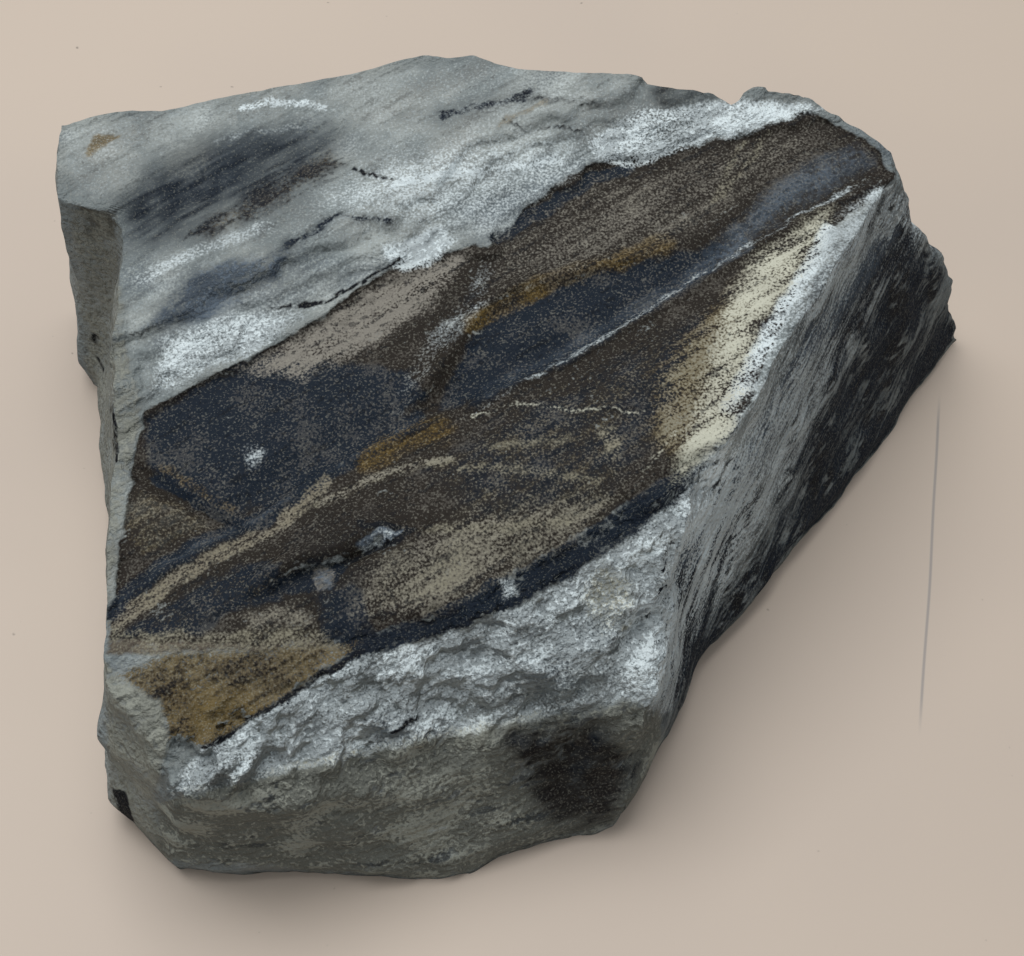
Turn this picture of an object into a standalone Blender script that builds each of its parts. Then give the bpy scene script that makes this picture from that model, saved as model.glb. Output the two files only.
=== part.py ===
"""A fossil leaf lying on the split face of a hand-sized block of shale.

One natural stone: a block broken along flat planes, its upper face split open along the bedding so
that the leaf shows in low relief, with a slab of the layer above still standing behind it.
"""
import math

import bmesh
import bpy
import numpy as np
from mathutils import Matrix, Vector, noise

NODE = "fossil_stone"
COLLECTION = "fossil_leaf"
MM = 0.001

# The break planes: the way each one faces, how far it leans to the sky, and a point it passes through.
PLANES = {
    "leaf": (-115.0, 82.0, (0.0, 0.0, 27.5)),
    "right": (-34.6, 15.0, (13.0, -24.0, 0.0)),
    "chamfer": (-68.0, 44.0, (-7.0, -18.0, 24.9)),
    "front": (-70.0, 23.0, (4.6, -22.3, 16.5)),
    "shoulder_left": (-108.0, 46.0, (-28.4, -29.0, 22.1)),
    "front_left": (-91.0, 3.0, (-21.4, -32.3, 7.8)),
    "corner_left": (-136.0, 10.0, (-40.0, -26.6, 0.0)),
    "left": (191.0, 8.0, (-49.3, 41.2, 32.9)),
    "far_right": (12.0, 26.0, (41.1, 33.0, 33.0)),
    "back_right": (50.0, 20.0, (33.1, 39.7, 37.0)),
    "back": (81.0, 5.0, (-9.0, 48.0, 36.2)),
    "back_left": (100.0, 5.0, (-9.0, 48.0, 36.2)),
}
TOP = ("leaf", "chamfer", "shoulder_left")
# The cells the faces are divided into: how long, how wide, and the way they run on the split face.
TOP_CELL = (2.0, 1.35)
SIDE_CELL = (2.9, 2.9)
GRAIN = 33.0
MIDDLE = (0.87, 9.45)
# How the far edge strays from its straight line.
FAR_EDGE_X = (-50.0, -43.0, -38.0, -24.0, -15.0, -9.0, -4.0, 2.0, 11.0, 16.0, 21.0, 26.0, 31.0, 38.0)
FAR_EDGE_Y = (0.6, 0.4, -0.4, 0.0, -0.5, 0.3, 0.7, -0.3, 0.1, -0.9, -0.9, 0.8, 0.8, 0.2)

# Lines on the split face, seen from above.
SLAB_EDGE = ((-48, 2), (-38, 5.5), (-31.5, 9.5), (-22.5, 14.5), (-17, 18), (-11.5, 20), (-6.5, 23),
             (-2.3, 24.6), (-1, 28), (5, 32.5), (11.5, 35), (22.5, 37.7), (34.4, 40), (50, 42))
SLAB_LIFT = 3.0
SLAB_RISE = 8.5
TROUGH = ((-44, 26), (-36, 31), (-30, 34), (-19.5, 38.5))
MIDRIB = ((-41, -16), (-32, -10), (-26, -7), (-18, -0.7), (-11, 3), (-5, 5.5), (-1, 7.7), (5, 10.3),
          (13, 15.3), (19.3, 19.2), (25.7, 24), (33.3, 28.6), (41, 32))
FOLD = ((-14, 2), (-10.2, 6.3), (-8.3, 9), (-5.8, 13), (-3.3, 17.2), (0, 20), (5, 21.1), (14.5, 23.5),
        (26, 29))
MARGIN = ((-24, -19.5), (-15, -18.6), (-7.7, -17), (0.8, -13), (8.4, -8.7), (12.3, -5), (17.2, -2),
          (22.2, 0.5))
FRONT_MARGIN = ((-42, -36), (-28.4, -28.6), (-14.2, -18.8), (-7.7, -17), (0.8, -13), (8.4, -8.7))
SHORT_VEIN = ((-2, 6.6), (4.8, 5.3), (9.7, 4.6), (14, 4.6))
SIDE_GROOVE = ((-38, 1), (-33, -3), (-30, -5), (-26.3, -7))
CHIP = ((-22.5, -13.3), (-20, -11.8), (-16.4, -10.9), (-12.6, -9))


def facing(azimuth, rise):
    """The outward direction of a plane."""
    turn = math.radians(azimuth)
    lean = math.radians(rise)
    return np.array((math.cos(lean) * math.cos(turn), math.cos(lean) * math.sin(turn), math.sin(lean)))


def ease(x, low, high):
    """From 0 at low to 1 at high, smoothly."""
    t = np.clip((x - low) / (high - low), 0.0, 1.0)
    return t * t * (3.0 - 2.0 * t)


def bell(x, y, centre, wide, deep):
    """1 at a place, fading to 0 a few widths away."""
    return np.exp(-((x - centre[0]) / wide) ** 2 - ((y - centre[1]) / deep) ** 2)


def along(line, x, y):
    """The distance from a bent line, positive on its left, and how far along it the nearest place is."""
    best = np.full(x.shape, 1e9)
    side = np.zeros(x.shape)
    place = np.zeros(x.shape)
    for step, (start, end) in enumerate(zip(line[:-1], line[1:])):
        dx = end[0] - start[0]
        dy = end[1] - start[1]
        t = np.clip(((x - start[0]) * dx + (y - start[1]) * dy) / (dx * dx + dy * dy), 0.0, 1.0)
        away = np.hypot(x - start[0] - t * dx, y - start[1] - t * dy)
        near = away < best
        best = np.where(near, away, best)
        side = np.where(near, np.sign(dx * (y - start[1]) - dy * (x - start[0])), side)
        place = np.where(near, (step + t) / (len(line) - 1), place)
    return best * side, place


def rough(points, size, seed, stretch=(1.0, 1.0, 1.0)):
    """Smooth unevenness of about plus or minus 1 with lumps of the size given."""
    scaled = points * np.array(stretch) / size + seed * 17.3
    return np.array([noise.noise(p) for p in scaled.tolist()])


def settle(points):
    """The large hollows and bulges of the block's outline."""
    x, y, z = points.T
    moved = points.copy()
    # The left face is broken back below the far corner, which stands out with a short face of its own.
    depth = np.interp(y, (-28.0, -20.0, -10.0, 10.0, 28.0, 29.6, 31.2), (0.0, 1.4, 3.3, 5.0, 6.2, 5.2, 0.0))
    lean = 0.25 + 0.75 * np.clip(z / 28.0, 0.0, 1.2)
    near_left = ease(x, -32.0, -47.0)
    moved[:, 0] += depth * lean * near_left
    # The right face is hollow along its foot, and the front is a little hollow along its upper edge.
    azimuth, rise, corner_at = PLANES["right"]
    right = facing(azimuth, 0.0)
    from_x = x - corner_at[0]
    from_y = y - corner_at[1]
    along_right = from_y * right[0] - from_x * right[1]
    inward = from_x * right[0] + from_y * right[1] + z * math.tan(math.radians(rise))
    by_right = ease(inward, -12.0, -1.0)
    hollow = -1.4 * np.exp(-((along_right - 27.0) / 14.0) ** 2) * ease(z, 26.0, 4.0)
    corner = -0.8 * np.exp(-((along_right - 18.0) / 5.0) ** 2) * ease(z, 14.0, 2.0)
    bulge = 2.6 * np.exp(-((along_right - 3.0) / 9.0) ** 2) * ease(z, 1.0, 14.0)
    moved[:, 0] += (hollow + corner + bulge) * by_right * right[0]
    moved[:, 1] += (hollow + corner + bulge) * by_right * right[1]
    front = ease(y, -17.0, -25.0) * np.exp(-((x + 13.0) / 15.0) ** 2) * np.exp(-((z - 17.0) / 8.0) ** 2)
    moved[:, 1] += 2.0 * front
    # A bite out of the far edge, and the uneven line of that edge.
    far = ease(y, 34.0, 44.0)
    bite = np.exp(-((x - 23.8) / 1.7) ** 2) * ease(z, 22.0, 33.0)
    edge = np.interp(x, FAR_EDGE_X, FAR_EDGE_Y)
    moved[:, 1] += far * (edge - 1.8 * bite) * ease(z, 4.0, 20.0)
    return moved


def slab_height(x, y):
    """How far the layer above the leaf still stands over it, in worn steps."""
    away, place = along(SLAB_EDGE, x, y)
    wander = 0.9 * np.sin(place * 41.0) + 0.5 * np.sin(place * 97.0 + 1.0)
    away = away + wander
    rise = 0.45 * ease(away, -0.7, 1.6) + 0.55 * ease(away, 4.3, SLAB_RISE)
    return SLAB_LIFT * rise * (1.0 - 0.25 * ease(place, 0.75, 0.95))


def leaf_relief(x, y):
    """The low relief of the split face: slab, leaf blade, ribs, folds and chips."""
    height = slab_height(x, y)
    trough = along(TROUGH, x, y)[0]
    height -= 0.9 * np.exp(-(trough / 3.6) ** 2)
    slab = along(SLAB_EDGE, x, y)[0]
    on_leaf = ease(slab, 0.5, -1.5)
    rib = along(MIDRIB, x, y)[0]
    height += (0.6 * np.exp(-(rib / 1.1) ** 2) - 0.6 * np.exp(-((rib - 2.4) / 1.9) ** 2)) * on_leaf
    fold, at = along(FOLD, x, y)
    fading = ease(at, 0.0, 0.2) * ease(at, 1.0, 0.75)
    height += (0.75 * np.exp(-(fold / 1.2) ** 2) - 0.5 * np.exp(-((fold + 2.4) / 1.8) ** 2)) * fading * on_leaf
    margin = along(FRONT_MARGIN, x, y)[0]
    blade = ease(rib, -0.5, -7.0) * ease(margin, 0.0, 7.0)
    height += 1.1 * blade
    edge, at = along(MARGIN, x, y)
    height -= 0.7 * np.exp(-(edge / 0.9) ** 2) * ease(at, 0.0, 0.2)
    vein = along(SHORT_VEIN, x, y)[0]
    height += 0.35 * np.exp(-(vein / 0.7) ** 2)
    groove = along(SIDE_GROOVE, x, y)[0]
    height -= 0.8 * np.exp(-(groove / 1.1) ** 2)
    chip = along(CHIP, x, y)[0]
    height -= 0.9 * np.exp(-(chip / 1.1) ** 2)
    height += 0.8 * bell(x, y, (-7.6, 20.0), 4.0, 2.0)
    height += 0.5 * bell(x, y, (-24.0, 2.0), 6.0, 4.0)
    height -= 0.6 * bell(x, y, (-27.0, -23.0), 7.0, 4.0)
    return height


def relief(points, flat):
    """Moves the points out and in across the planes they lay in while the block was flat-sided."""
    x, y, z = points.T
    moved = points.copy()
    up = facing(*PLANES["leaf"][:2])
    under = (flat - np.array(PLANES["leaf"][2])) @ up
    slab = slab_height(x, y)
    lift = slab * ease(under, -14.0, 0.0) + (leaf_relief(x, y) - slab) * ease(under, -2.5, 0.0)
    moved += up * lift[:, None]
    # The broken faces are lumpy, with ledges along the bedding.
    coarse = rough(points, 13.0, 1)
    middling = rough(points, 5.5, 2)
    ledge = rough(points, 7.0, 3, (0.35, 0.35, 1.6))
    for name, (azimuth, rise, through) in PLANES.items():
        if name == "leaf":
            continue
        out = facing(azimuth, rise)
        inside = (flat - np.array(through)) @ out
        near = ease(inside, -4.0, 0.0)
        amount = 0.7 * coarse + 0.45 * middling + 0.5 * ledge
        if name in TOP:
            amount = 0.5 * coarse + 0.75 * middling
        moved += out * (amount * near)[:, None]
    moved[:, 2] = z + (moved[:, 2] - z) * ease(z, 0.0, 3.0)
    return moved


def foot(points):
    """Draws the sides in under the block, so that it stands on a seat smaller than its outline."""
    x, y, z = points.T
    moved = points.copy()
    tuck = 1.2 * (1.0 - ease(z, 0.0, 4.0)) * (1.0 + 0.5 * rough(points, 8.0, 5))
    away = np.hypot(x - MIDDLE[0], y - MIDDLE[1])
    moved[:, 0] -= tuck * (x - MIDDLE[0]) / away
    moved[:, 1] -= tuck * (y - MIDDLE[1]) / away
    return moved


def broken_block():
    """A cube cut down by every break plane in turn."""
    mesh = bmesh.new()
    bmesh.ops.create_cube(mesh, size=1.0)
    bmesh.ops.scale(mesh, vec=(160.0, 160.0, 60.0), verts=mesh.verts[:])
    bmesh.ops.translate(mesh, vec=(0.0, 10.0, 30.0), verts=mesh.verts[:])
    for azimuth, rise, through in PLANES.values():
        out = Vector(facing(azimuth, rise))
        whole = mesh.verts[:] + mesh.edges[:] + mesh.faces[:]
        cut = bmesh.ops.bisect_plane(mesh, geom=whole, plane_co=through, plane_no=out, clear_outer=True)
        rim = [item for item in cut["geom_cut"] if isinstance(item, bmesh.types.BMEdge)]
        bmesh.ops.holes_fill(mesh, edges=rim, sides=0)
    return mesh


def slice_faces(mesh, out, grain, cell):
    """Divides every face that faces one way into a lattice of cells that run with the grain."""
    across = out.cross(grain).normalized()
    along_face = across.cross(out)
    for way, step in ((along_face, cell[0]), (across, cell[1])):
        faces = [face for face in mesh.faces if face.normal.dot(out) > 0.9999]
        reach = [vert.co.dot(way) for face in faces for vert in face.verts]
        start = min(reach)
        count = round((max(reach) - start) / step)
        for number in range(1, count):
            where = start + (max(reach) - start) * number / count
            faces = [face for face in mesh.faces if face.normal.dot(out) > 0.9999]
            part = {edge for face in faces for edge in face.edges}
            corners = {vert for face in faces for vert in face.verts}
            bmesh.ops.bisect_plane(mesh, geom=[*faces, *part, *corners], plane_co=way * where, plane_no=way)


def build():
    mesh = broken_block()
    mesh.normal_update()
    for name, (azimuth, rise, through) in PLANES.items():
        out = Vector(facing(azimuth, rise))
        if name in TOP:
            slice_faces(mesh, out, Vector(facing(GRAIN, 0.0)), TOP_CELL)
        else:
            slice_faces(mesh, out, Vector((0.0, 0.0, 1.0)), SIDE_CELL)
    bmesh.ops.triangulate(mesh, faces=mesh.faces[:], quad_method="BEAUTY", ngon_method="BEAUTY")
    points = np.array([vert.co[:] for vert in mesh.verts])
    points = foot(relief(settle(points), points))
    for vert, place in zip(mesh.verts, points.tolist()):
        vert.co = place
    bmesh.ops.translate(mesh, vec=(-MIDDLE[0], -MIDDLE[1], 0.0), verts=mesh.verts[:])
    bmesh.ops.transform(mesh, matrix=Matrix.Scale(MM, 4), verts=mesh.verts[:])
    bmesh.ops.recalc_face_normals(mesh, faces=mesh.faces[:])
    data = bpy.data.meshes.new(NODE)
    mesh.to_mesh(data)
    mesh.free()
    return bpy.data.objects.new(NODE, data)


def stone_material():
    material = bpy.data.materials.new("grey_shale")
    material.use_nodes = True
    shader = material.node_tree.nodes["Principled BSDF"]
    shader.inputs["Base Color"].default_value = (0.19, 0.2, 0.2, 1.0)
    shader.inputs["Roughness"].default_value = 0.8
    shader.inputs["Metallic"].default_value = 0.0
    return material


for old in list(bpy.data.objects):
    bpy.data.objects.remove(old)
group = bpy.data.collections.new(COLLECTION)
bpy.context.scene.collection.children.link(group)
stone = build()
stone.data.materials.append(stone_material())
group.objects.link(stone)
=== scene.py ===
"""Looks of the fossil leaf stone: one finely divided block, painted by the marks that lie on it."""
import math

import bmesh
import bpy
import numpy as np
from mathutils import Matrix, Vector, noise


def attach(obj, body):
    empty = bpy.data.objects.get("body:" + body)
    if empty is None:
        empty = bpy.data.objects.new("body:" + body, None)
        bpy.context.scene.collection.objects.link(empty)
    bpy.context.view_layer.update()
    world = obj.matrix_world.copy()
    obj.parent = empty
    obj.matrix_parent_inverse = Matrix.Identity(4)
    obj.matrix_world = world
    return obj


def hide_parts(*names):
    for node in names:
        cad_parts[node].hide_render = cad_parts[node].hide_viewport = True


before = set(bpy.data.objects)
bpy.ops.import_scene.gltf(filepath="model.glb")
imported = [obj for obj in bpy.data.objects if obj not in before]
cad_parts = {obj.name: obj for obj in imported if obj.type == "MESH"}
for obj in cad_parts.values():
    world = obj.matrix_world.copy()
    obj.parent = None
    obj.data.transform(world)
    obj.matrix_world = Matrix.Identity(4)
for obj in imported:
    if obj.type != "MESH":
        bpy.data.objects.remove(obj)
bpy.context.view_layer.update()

MM = 0.001
NODE = "fossil_stone"

# The camera, in millimetres from the middle of the stone's seat.
IMAGE = (1024, 956)
MIDDLE = (0.87, 9.45)
LENS = 60.0
SENSOR = 36.0
ELEVATION = math.radians(55.0)
DISTANCE = 170.0
TARGET = (-MIDDLE[0], -MIDDLE[1], 24.0)

# The studio, in metres: the table, the sky, the lamp, and the nearest that the camera sees.
TABLE_HALF = 1.0
SKY = (0.92, 0.96, 1.0, 1.0)
SKY_STRENGTH = 0.5
LAMP_PLACE = (-0.12, 0.16, 0.6)
LAMP_SIZE = 0.5
LAMP_WATTS = 3.7
NEAREST = 0.01

# The break planes: the way each one faces, how far it leans to the sky, and a point it passes through.
PLANES = {
    "leaf": (-115.0, 82.0, (0.0, 0.0, 27.5)),
    "right": (-34.6, 15.0, (13.0, -24.0, 0.0)),
    "chamfer": (-68.0, 44.0, (-7.0, -18.0, 24.9)),
    "front": (-70.0, 23.0, (4.6, -22.3, 16.5)),
    "shoulder_left": (-108.0, 46.0, (-28.4, -29.0, 22.1)),
    "front_left": (-91.0, 3.0, (-21.4, -32.3, 7.8)),
    "corner_left": (-136.0, 10.0, (-40.0, -26.6, 0.0)),
    "left": (191.0, 8.0, (-49.3, 41.2, 32.9)),
    "far_right": (12.0, 26.0, (41.1, 33.0, 33.0)),
    "back_right": (50.0, 20.0, (33.1, 39.7, 37.0)),
    "back": (81.0, 5.0, (-9.0, 48.0, 36.2)),
    "back_left": (100.0, 5.0, (-9.0, 48.0, 36.2)),
}
TOP = ("leaf", "chamfer", "shoulder_left")
HIDDEN = ("far_right", "back_right", "back", "back_left")
# The cells that the faces are divided into, in millimetres, the way they run on the upper faces, and
# the cuts that divide each one again.
TOP_CELL = (1.7, 1.45)
SIDE_CELL = (2.3, 2.3)
HIDDEN_CELL = (4.6, 4.6)
GRAIN = 33.0
CUTS = 3
# How squarely a face has to face a plane's way to be part of that plane.
FLUSH = 0.9999
# The box that the planes cut down, and its middle, in millimetres.
BLOCK = (160.0, 160.0, 60.0)
BLOCK_MIDDLE = (0.0, 10.0, 30.0)
# How deep the left face is broken back, along the block, and the height where it is that deep.
LEFT_BREAK_Y = (-28.0, -20.0, -10.0, 10.0, 28.0, 29.6, 31.2)
LEFT_BREAK_DEPTH = (0.0, 1.4, 3.3, 5.0, 6.2, 5.2, 0.0)
LEFT_BREAK_TOP = 28.0
# Where a form of the left or the right face, of the front or of the far edge begins and is whole,
# measured across the block, in from the right face, and along the block.
BY_LEFT = (-32.0, -47.0)
BY_RIGHT = (-12.0, -1.0)
BY_FRONT = (-17.0, -25.0)
BY_FAR_EDGE = (34.0, 44.0)
# Forms of the right face: how far each stands out, where it is along the face and how wide, and the
# heights where it is nothing and whole.
RIGHT_FORMS = (
    (-1.4, 27.0, 14.0, 26.0, 4.0),
    (-0.8, 18.0, 5.0, 14.0, 2.0),
    (2.6, 3.0, 9.0, 1.0, 14.0),
)
# The hollow along the front's upper edge: its depth, middle and width, height and reach up and down.
FRONT_HOLLOW = 2.0
FRONT_HOLLOW_X = -13.0
FRONT_HOLLOW_WIDTH = 15.0
FRONT_HOLLOW_Z = 17.0
FRONT_HOLLOW_REACH = 8.0
# The bite out of the far edge, and the heights where it and that edge's strays begin and are whole.
BITE_X = 23.8
BITE_WIDTH = 1.7
BITE_DEPTH = 1.8
BITE_HEIGHTS = (22.0, 33.0)
FAR_EDGE_HEIGHTS = (4.0, 20.0)
# How the far edge strays from its straight line.
FAR_EDGE_X = (-50.0, -43.0, -38.0, -24.0, -15.0, -9.0, -4.0, 2.0, 11.0, 16.0, 21.0, 26.0, 31.0, 38.0)
FAR_EDGE_Y = (0.6, 0.4, -0.4, 0.0, -0.5, 0.3, 0.7, -0.3, 0.1, -0.9, -0.9, 0.8, 0.8, 0.2)

# Lines on the split face, seen from above, in millimetres.
SLAB_EDGE = ((-48, 2), (-38, 5.5), (-31.5, 9.5), (-22.5, 14.5), (-17, 18), (-11.5, 20), (-6.5, 23),
             (-2.3, 24.6), (-1, 28), (5, 32.5), (11.5, 35), (22.5, 37.7), (34.4, 40), (50, 42))
TROUGH = ((-44, 26), (-36, 31), (-30, 34), (-19.5, 38.5))
MIDRIB = ((-41, -16), (-32, -10), (-26, -7), (-18, -0.7), (-11, 3), (-5, 5.5), (-1, 7.7), (5, 10.3),
          (13, 15.3), (19.3, 19.2), (25.7, 24), (33.3, 28.6), (41, 32))
FOLD = ((-14, 2), (-10.2, 6.3), (-8.3, 9), (-5.8, 13), (-3.3, 17.2), (0, 20), (5, 21.1), (14.5, 23.5),
        (26, 29))
MARGIN = ((-24, -19.5), (-15, -18.6), (-7.7, -17), (0.8, -13), (8.4, -8.7), (12.3, -5), (17.2, -2),
          (22.2, 0.5))
FRONT_MARGIN = ((-42, -36), (-28.4, -28.6), (-14.2, -18.8), (-7.7, -17), (0.8, -13), (8.4, -8.7))
SHORT_VEIN = ((-2, 6.6), (4.8, 5.3), (9.7, 4.6), (14, 4.6))
SIDE_GROOVE = ((-38, 1), (-33, -3), (-30, -5), (-26.3, -7))
CHIP = ((-22.5, -13.3), (-20, -11.8), (-16.4, -10.9), (-12.6, -9))

# How far the slab stands over the leaf's own layer, in millimetres.
SLAB_LIFT = 3.0
# The slab's worn steps: how far in from its edge each begins, and its share of the lift.
SLAB_STEPS = ((0.0, 0.24), (2.6, 0.2), (4.4, 0.24), (7.2, 0.32))
# How far before and after its place a step rises, and by what share the slab thins towards the
# far end of its edge, between which shares of that edge.
STEP_BEFORE = 0.3
STEP_AFTER = 0.4
SLAB_THINNING = 0.25
SLAB_THINS = (0.75, 0.95)
# How the steps stray: how far, the size of the strays and their seed.
STEP_STRAYS = ((2.4, 5.0, 11), (1.0, 2.0, 12))
# How deep under the split face the slab and the leaf's relief still move the stone.
SLAB_DEEP = 14.0
RELIEF_DEEP = 2.5
# The belt in from the slab's edge where it is flaked most, and where its flaking begins at all.
FLAKED_FROM = (-0.5, 1.0)
FLAKED_TO = (12.0, 7.0)
SLAB_FROM = (-0.8, 0.6)
FLAKES_DEEP = 2.0

# How far the blade swells at most.
BLADE_LIFT = 1.1
# Where the leaf ends at the slab, and where the blade swells, from the midrib and from the margin.
LEAF_END = (0.5, -1.5)
BLADE_FROM_RIB = (-0.5, -7.0)
BLADE_FROM_MARGIN = (0.0, 7.0)
# The shares of the fold and of the margin groove along which they run in, and the fold runs out.
RUNS_IN = (0.0, 0.2)
RUNS_OUT = (1.0, 0.75)
# How high each form along a line stands over the split face, and how wide it is.
FORMS = {
    "trough": (-0.9, 3.6),
    "midrib": (0.45, 0.5),
    "midrib side": (-0.6, 1.9),
    "fold": (0.75, 0.9),
    "fold foot": (-0.5, 1.8),
    "margin": (-0.7, 0.7),
    "short vein": (0.3, 0.35),
    "side groove": (-0.8, 0.8),
    "chip lip": (0.9, 1.1),
    "chip hollow": (-1.1, 0.6),
}
# How far a form's second part lies to the side of its line.
MIDRIB_SIDE = 2.2
FOLD_FOOT = -2.4
CHIP_LIP = 1.3
CHIP_HOLLOW = -0.3
# Bumps and dips of the split face: how high, where, how wide and how deep.
BUMPS = (
    (0.8, (-7.6, 20.0), 4.0, 2.0),
    (0.5, (-24.0, 2.0), 6.0, 4.0),
    (-0.6, (-27.0, -23.0), 7.0, 4.0),
)
# How deep under a broken face its lumps still move the stone, and the height over the seat from
# which down they and the relief move it less.
LUMPS_DEEP = 4.0
SEAT_CLEAR = 3.0
# How far the sides draw in at the seat, and from what height down.
TUCK = 1.2
TUCK_TOP = 4.0
# The steps of the flakes' heights, and the part of each step that is its edge.
FLAKE_STEPS = 4.0
FLAKE_EDGE = (0.78, 1.0)


def facing(azimuth, rise):
    """The outward direction of a plane."""
    turn = math.radians(azimuth)
    lean = math.radians(rise)
    return np.array((math.cos(lean) * math.cos(turn), math.cos(lean) * math.sin(turn), math.sin(lean)))


def ease(x, low, high):
    """From 0 at low to 1 at high, smoothly."""
    t = np.clip((x - low) / (high - low), 0.0, 1.0)
    return t * t * (3.0 - 2.0 * t)


def bell(x, y, centre, wide, deep):
    """1 at a place, fading to 0 a few widths away."""
    return np.exp(-((x - centre[0]) / wide) ** 2 - ((y - centre[1]) / deep) ** 2)


def swell(away, wide):
    """1 along a line, fading to 0 a few widths away."""
    return np.exp(-(away / wide) ** 2)


def form(name, away):
    """The height of a named form at a distance from its line."""
    height, wide = FORMS[name]
    return height * swell(away, wide)


def along(line, x, y):
    """The distance from a bent line, positive on its left, and the share of the line passed there."""
    best = np.full(x.shape, 1e9)
    side = np.zeros(x.shape)
    place = np.zeros(x.shape)
    for step, (start, end) in enumerate(zip(line[:-1], line[1:])):
        dx = end[0] - start[0]
        dy = end[1] - start[1]
        t = np.clip(((x - start[0]) * dx + (y - start[1]) * dy) / (dx * dx + dy * dy), 0.0, 1.0)
        away = np.hypot(x - start[0] - t * dx, y - start[1] - t * dy)
        near = away < best
        best = np.where(near, away, best)
        side = np.where(near, np.sign(dx * (y - start[1]) - dy * (x - start[0])), side)
        place = np.where(near, (step + t) / (len(line) - 1), place)
    return best * side, place


def rough(points, size, seed, stretch=(1.0, 1.0, 1.0)):
    """Smooth unevenness of about plus or minus 1 with lumps of the size given."""
    scaled = points * np.array(stretch) / size + seed * 17.3
    return np.array([noise.noise(p) for p in scaled.tolist()])


def settle(points):
    """The large hollows and bulges of the block's outline."""
    x, y, z = points.T
    moved = points.copy()
    # The left face is broken back below the far corner, which stands out with a short face of its own.
    depth = np.interp(y, LEFT_BREAK_Y, LEFT_BREAK_DEPTH)
    lean = 0.25 + 0.75 * np.clip(z / LEFT_BREAK_TOP, 0.0, 1.2)
    near_left = ease(x, *BY_LEFT)
    moved[:, 0] += depth * lean * near_left
    # The right face is hollow along its foot and bulges near the front.
    azimuth, rise, corner_at = PLANES["right"]
    right = facing(azimuth, 0.0)
    from_x = x - corner_at[0]
    from_y = y - corner_at[1]
    along_right = from_y * right[0] - from_x * right[1]
    inward = from_x * right[0] + from_y * right[1] + z * math.tan(math.radians(rise))
    by_right = ease(inward, *BY_RIGHT)
    out = 0.0
    for stand, middle, wide, none_at, whole_at in RIGHT_FORMS:
        out = out + stand * swell(along_right - middle, wide) * ease(z, none_at, whole_at)
    moved[:, 0] += out * by_right * right[0]
    moved[:, 1] += out * by_right * right[1]
    # The front is a little hollow along its upper edge.
    front = ease(y, *BY_FRONT) * swell(x - FRONT_HOLLOW_X, FRONT_HOLLOW_WIDTH)
    moved[:, 1] += FRONT_HOLLOW * front * swell(z - FRONT_HOLLOW_Z, FRONT_HOLLOW_REACH)
    # A bite out of the far edge, and the uneven line of that edge.
    far = ease(y, *BY_FAR_EDGE)
    bite = swell(x - BITE_X, BITE_WIDTH) * ease(z, *BITE_HEIGHTS)
    edge = np.interp(x, FAR_EDGE_X, FAR_EDGE_Y)
    moved[:, 1] += far * (edge - BITE_DEPTH * bite) * ease(z, *FAR_EDGE_HEIGHTS)
    return moved


def slab_height(x, y, wander):
    """How far the layer above the leaf still stands over it, in worn steps."""
    away, place = along(SLAB_EDGE, x, y)
    away = away + wander
    rise = 0.0
    for start, share in SLAB_STEPS:
        rise = rise + share * ease(away, start - STEP_BEFORE, start + STEP_AFTER)
    return SLAB_LIFT * rise * (1.0 - SLAB_THINNING * ease(place, *SLAB_THINS))


def leaf_relief(x, y):
    """The low relief of the split face apart from the slab: leaf blade, ribs, folds and chips."""
    height = form("trough", along(TROUGH, x, y)[0])
    slab = along(SLAB_EDGE, x, y)[0]
    on_leaf = ease(slab, *LEAF_END)
    rib = along(MIDRIB, x, y)[0]
    height += (form("midrib", rib) + form("midrib side", rib - MIDRIB_SIDE)) * on_leaf
    fold, at = along(FOLD, x, y)
    fading = ease(at, *RUNS_IN) * ease(at, *RUNS_OUT)
    height += (form("fold", fold) + form("fold foot", fold - FOLD_FOOT)) * fading * on_leaf
    margin = along(FRONT_MARGIN, x, y)[0]
    blade = ease(rib, *BLADE_FROM_RIB) * ease(margin, *BLADE_FROM_MARGIN)
    height += BLADE_LIFT * blade
    edge, at = along(MARGIN, x, y)
    height += form("margin", edge) * ease(at, *RUNS_IN)
    height += form("short vein", along(SHORT_VEIN, x, y)[0])
    height += form("side groove", along(SIDE_GROOVE, x, y)[0])
    chip = along(CHIP, x, y)[0]
    height += form("chip lip", chip - CHIP_LIP) + form("chip hollow", chip - CHIP_HOLLOW)
    for rise, centre, wide, deep in BUMPS:
        height += rise * bell(x, y, centre, wide, deep)
    return height


def flakes(points, size, seed):
    """Small flat flakes with crisp edges, from 0 to 1."""
    level = 2.0 + 2.6 * rough(points, size, seed) + 0.7 * rough(points, 0.35 * size, seed + 1)
    whole = np.floor(level)
    return (whole + ease(level - whole, *FLAKE_EDGE)) / FLAKE_STEPS


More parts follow.
